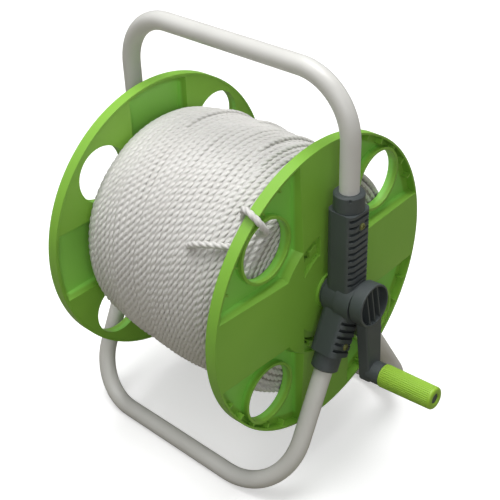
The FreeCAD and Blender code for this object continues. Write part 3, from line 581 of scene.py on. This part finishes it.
outer_pieces = layer_pieces("coil_outer", layer_path(
    turns=33, gaps=(6.4, 7.7), reach=HALF - ROPE - 0.3, seed=7), phase=0.4)
layer_pieces("coil_second", layer_path(
    turns=32, gaps=(6.7, 7.4), reach=HALF - ROPE - 0.2, seed=11,
    drop=3.7, wander=0.6, start=0.9, backwards=True), phase=1.1)


# ------------------------------------------------------------------ riding turns
# Turns that climb over their neighbours: (x start, x end, angle start, angle end)
RIDERS = [
    (-62, -44, 0.1, 1.9), (-18, -6, 3.9, 8.0), (26, 44, -0.9, 1.9),
    (50, 62, 0.1, 2.0), (78, 92, 3.5, 6.9),
]
RIDER_SINK = 3.5                  # how far the ends dip below the outer layer
RIDER_RISE = 5.9                  # climb from there
RIDER_RAMP = 0.16                 # part of the run spent climbing at each end


def rider(x_start, x_end, angle_start, angle_end):
    angle = np.linspace(angle_start, angle_end, 300)
    done = (angle - angle_start) / (angle_end - angle_start)
    middle = np.full_like(angle, 0.5 * (x_start + x_end))
    x = x_start + (x_end - x_start) * done + 0.6 * drift(middle, angle)
    rise = np.clip(np.minimum(done, 1 - done) / RIDER_RAMP, 0, 1)
    rise = rise * rise * (3 - 2 * rise)
    radius = coil_radius(x, angle) - ROPE - RIDER_SINK + RIDER_RISE * rise
    return wound_run(around(x, radius, angle), STEP, phase=rng.uniform(0, 2))


line_piece("coil_riders", [rider(*row) for row in RIDERS])


# ------------------------------------------------------------------ end faces of the coil
END_START = 81.0                  # radius where the innermost ring starts
END_PITCH = 6.55
END_GROWTH = 6.2                  # each ring spirals out by this much


def end_ring(side, start):
    angle = np.linspace(0, TURN, 420)
    radius = (start + 0.9 * np.sin(2 * angle + start) + 0.5 * np.sin(5 * angle + 2 * start)
              + END_GROWTH * angle / TURN)
    x = side * (HALF - ROPE - 0.15 - 0.35 * (1 + np.sin(3 * angle + start)))
    return wound_run(around(x, radius, angle), STEP * 1.15, phase=rng.uniform(0, 6), scale=0.98)


for side, name, limit in ((1, "near", 119.0), (-1, "far", 110.5)):
    line_piece("coil_end_" + name,
               [end_ring(side, start) for start in np.arange(END_START, limit, END_PITCH)])


# ------------------------------------------------------------------ bulk under the layers
HUB_RADIUS = 60.6                 # bore of the bulk
BULK_DROP = 12.5                  # depth below the coil's outline
BULK_PITCH = 6.8                  # ridge spacing
BULK_SEGMENTS = 160


def add_bulk():
    """Turned ring with a ridge for each turn."""
    profile = [(-HALF + 3.2, HUB_RADIUS)]
    for x in np.linspace(-HALF + 1.2, HALF - 1.2, 140):
        ridge = math.cos(TURN * x / BULK_PITCH)
        profile.append((x, lookup(x, COIL_OUTLINE) - BULK_DROP + ridge))
    profile.append((HALF - 3.2, HUB_RADIUS))

    points, faces = [], []
    for i, (x, radius) in enumerate(profile):
        row = i * BULK_SEGMENTS
        next_row = (i + 1) % len(profile) * BULK_SEGMENTS
        for j in range(BULK_SEGMENTS):
            angle = TURN * j / BULK_SEGMENTS
            k = (j + 1) % BULK_SEGMENTS
            points.append((x, radius * math.cos(angle), radius * math.sin(angle)))
            faces.append((row + j, next_row + j, next_row + k, row + k))
    mesh = bpy.data.meshes.new("coil_bulk")
    mesh.from_pydata(to_world(points).tolist(), [], faces)
    mesh.polygons.foreach_set("use_smooth", np.ones(len(faces), bool))
    add_drum_line("coil_bulk", mesh, shaded_deep_line("LineDeepPaintedShade"))


add_bulk()
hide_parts("wound_line")


# ------------------------------------------------------------------ free end
# Lies across the coil towards +x, then stands up in a loop near its +x end:
# (x, radius, degrees)
FREE_END = [
    (37.0, 126.5, 147.4), (42.0, 130.2, 146.6), (47.0, 133.9, 145.6), (54.0, 136.0, 144.5),
    (64.0, 135.9, 143.0), (76.0, 134.0, 141.4), (89.0, 131.6, 139.4), (96.5, 133.6, 136.4),
    (99.6, 142.0, 131.8), (99.8, 152.5, 128.4), (102.0, 160.6, 127.0), (108.5, 163.8, 127.3),
    (116.4, 163.1, 128.0), (122.0, 158.9, 128.7), (123.7, 151.0, 129.3), (121.8, 142.6, 129.5),
    (116.6, 135.8, 129.7), (108.2, 131.8, 130.8),
]


def between(start, end, t_start, t_end, t):
    span = t_end - t_start
    return (t_end - t) / span * start + (t - t_start) / span * end


def spline(stations, samples=260):
    """Centripetal Catmull-Rom curve through the stations."""
    points = [2 * stations[0] - stations[1], *stations, 2 * stations[-1] - stations[-2]]
    per_span = samples // (len(stations) - 1) + 2
    curve = []
    for p0, p1, p2, p3 in zip(points, points[1:], points[2:], points[3:]):
        t0 = 0.0
        t1 = t0 + np.linalg.norm(p1 - p0) ** 0.5
        t2 = t1 + np.linalg.norm(p2 - p1) ** 0.5
        t3 = t2 + np.linalg.norm(p3 - p2) ** 0.5
        for t in np.linspace(t1, t2, per_span)[:-1]:
            a1 = between(p0, p1, t0, t1, t)
            a2 = between(p1, p2, t1, t2, t)
            a3 = between(p2, p3, t2, t3, t)
            b1 = between(a1, a2, t0, t2, t)
            b2 = between(a2, a3, t1, t3, t)
            curve.append(between(b1, b2, t1, t2, t))
    curve.append(points[-2])
    return np.array(curve)


def loose_run(path, step, phase=0.0, scale=1.0, pressed=True):
    """Line off the coil, with the strands following the path untwisted."""
    path, along = resample(path, step)
    return line_run(path, along, transported(path), phase, scale, pressed)


x, radius, degrees = np.array(FREE_END).T
free_path = spline(around(x, radius, np.radians(degrees)))
free_end = line_piece("free_end", [
    loose_run(free_path, step=0.55, phase=0.6, scale=1.05, pressed=False)])
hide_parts("line_tail")


# ------------------------------------------------------------------ inner end and its knot
inner_low, inner_high = box("line_inner_end")
INNER_X = (0.5 * (inner_low[0] + inner_high[0]) - MID_X) / MM
# From the bulk's bore towards the axle: (x from INNER_X, y, z)
INNER_END = [
    (0, 0, 61.5), (0, 0, 55.0), (1.0, 0.5, 50.0), (0, 0.4, 44.0), (-1.5, 0.0, 34.0),
    (-2.2, -1.0, 31.0),
]
KNOT_SIZE = 2.046                 # scale of the trefoil in x and y
KNOT_Z, KNOT_DEPTH = 49.5, 2.6    # its middle, and how far it weaves either way


def knot_path():
    """Closed trefoil."""
    turn = np.linspace(0, TURN, 91)
    return np.stack([INNER_X + KNOT_SIZE * (np.sin(turn) + 2 * np.sin(2 * turn)),
                     KNOT_SIZE * (np.cos(turn) - 2 * np.cos(2 * turn)),
                     KNOT_Z - KNOT_DEPTH * np.sin(3 * turn)], 1)


inner_end = line_piece("inner_end", [
    loose_run(np.array(INNER_END) + (INNER_X, 0, 0), step=0.6, scale=0.92),
    loose_run(knot_path(), step=0.6, scale=0.72)])
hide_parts("line_inner_end")


# ------------------------------------------------------------------ floor
FLOOR_HALF = 12.0
FLOOR_SEEN = (0.80, 0.80, 0.80)        # colour the camera sees
FLOOR_BOUNCE = (0.26, 0.24, 0.19)      # darker colour that lights the reel from below
FLOOR_GLOW = 0.42                      # emission, for the camera only


def add_floor():
    size = FLOOR_HALF
    mesh = bpy.data.meshes.new("floor")
    corners = [(-size, -size, 0), (size, -size, 0), (size, size, 0), (-size, size, 0)]
    mesh.from_pydata(corners, [], [(0, 1, 2, 3)])
    floor = add_object("floor", mesh)
    material, graph, shader = new_material("Floor")
    seen = graph.add("ShaderNodeLightPath").outputs["Is Camera Ray"]
    graph.feed(shader, {
        "Base Color": graph.mix(seen, FLOOR_BOUNCE, FLOOR_SEEN),
        "Roughness": 0.95,
        "Specular IOR Level": 0.1,
        "Emission Color": WHITE,
        "Emission Strength": graph.times(seen, FLOOR_GLOW),
    })
    mesh.materials.append(material)


add_floor()


# ------------------------------------------------------------------ light
LIGHT_TARGET = Vector((MID_X, 0.0, 0.22))
# (name, place in metres, disk diameter, watts)
LIGHTS = [
    ("Key", (-0.55, -1.05, 1.75), 1.0, 5.6),
    ("Top", (-0.15, 0.1, 3.2), 2.4, 93.0),
    ("Back", (0.5, 1.6, 1.3), 1.2, 3.0),
    ("Fill", (1.30, -1.10, 1.20), 1.2, 8.8),
    ("Left", (-1.7, -0.3, 0.9), 1.2, 0.8),
]
SKY_ALL_ROUND = 0.14              # world strength in every direction
SKY_OVERHEAD = 0.10               # added towards the zenith

for name, place, size, power in LIGHTS:
    light = bpy.data.lights.new(name, "AREA")
    light.shape = "DISK"
    light.size = size
    light.energy = power
    lamp = add_object(name, light)
    lamp.location = place
    lamp.rotation_euler = (LIGHT_TARGET - Vector(place)).to_track_quat("-Z", "Y").to_euler()


def add_world():
    world = bpy.data.worlds.new("World")
    bpy.context.scene.world = world
    world.use_nodes = True
    graph = Graph(world.node_tree)
    direction = graph.add("ShaderNodeTexCoord").outputs["Generated"]
    height = graph.math("MAXIMUM", graph.split(direction)[2], 0.0)
    strength = graph.spread(height, gain=SKY_OVERHEAD, offset=SKY_ALL_ROUND)
    graph.feed(world.node_tree.nodes["Background"], {"Color": WHITE, "Strength": strength})


add_world()


# ------------------------------------------------------------------ camera
CAMERA_PLACE = (625.4, -645.1, 586.5)          # drum frame
AZIMUTH = math.radians(43.34)                  # from -y towards +x
ELEVATION = math.radians(33.45)
ROLL = math.radians(-2.04)


def add_camera():
    data = bpy.data.cameras.new("Camera")
    camera = add_object("Camera", data)
    data.sensor_width = 36.0
    data.lens = 73.205
    data.clip_start = 0.02
    back = Vector((math.sin(AZIMUTH) * math.cos(ELEVATION),
                   -math.cos(AZIMUTH) * math.cos(ELEVATION), math.sin(ELEVATION)))
    level = Vector((math.cos(AZIMUTH), math.sin(AZIMUTH), 0.0))
    upright = back.cross(level)
    right = math.cos(ROLL) * level + math.sin(ROLL) * upright
    up = -math.sin(ROLL) * level + math.cos(ROLL) * upright
    place = to_world(CAMERA_PLACE)
    columns = ((*right, 0), (*up, 0), (*back, 0), (*place, 1))
    camera.matrix_world = Matrix(columns).transposed()
    bpy.context.scene.camera = camera


add_camera()
bpy.context.scene.view_settings.view_transform = "Standard"
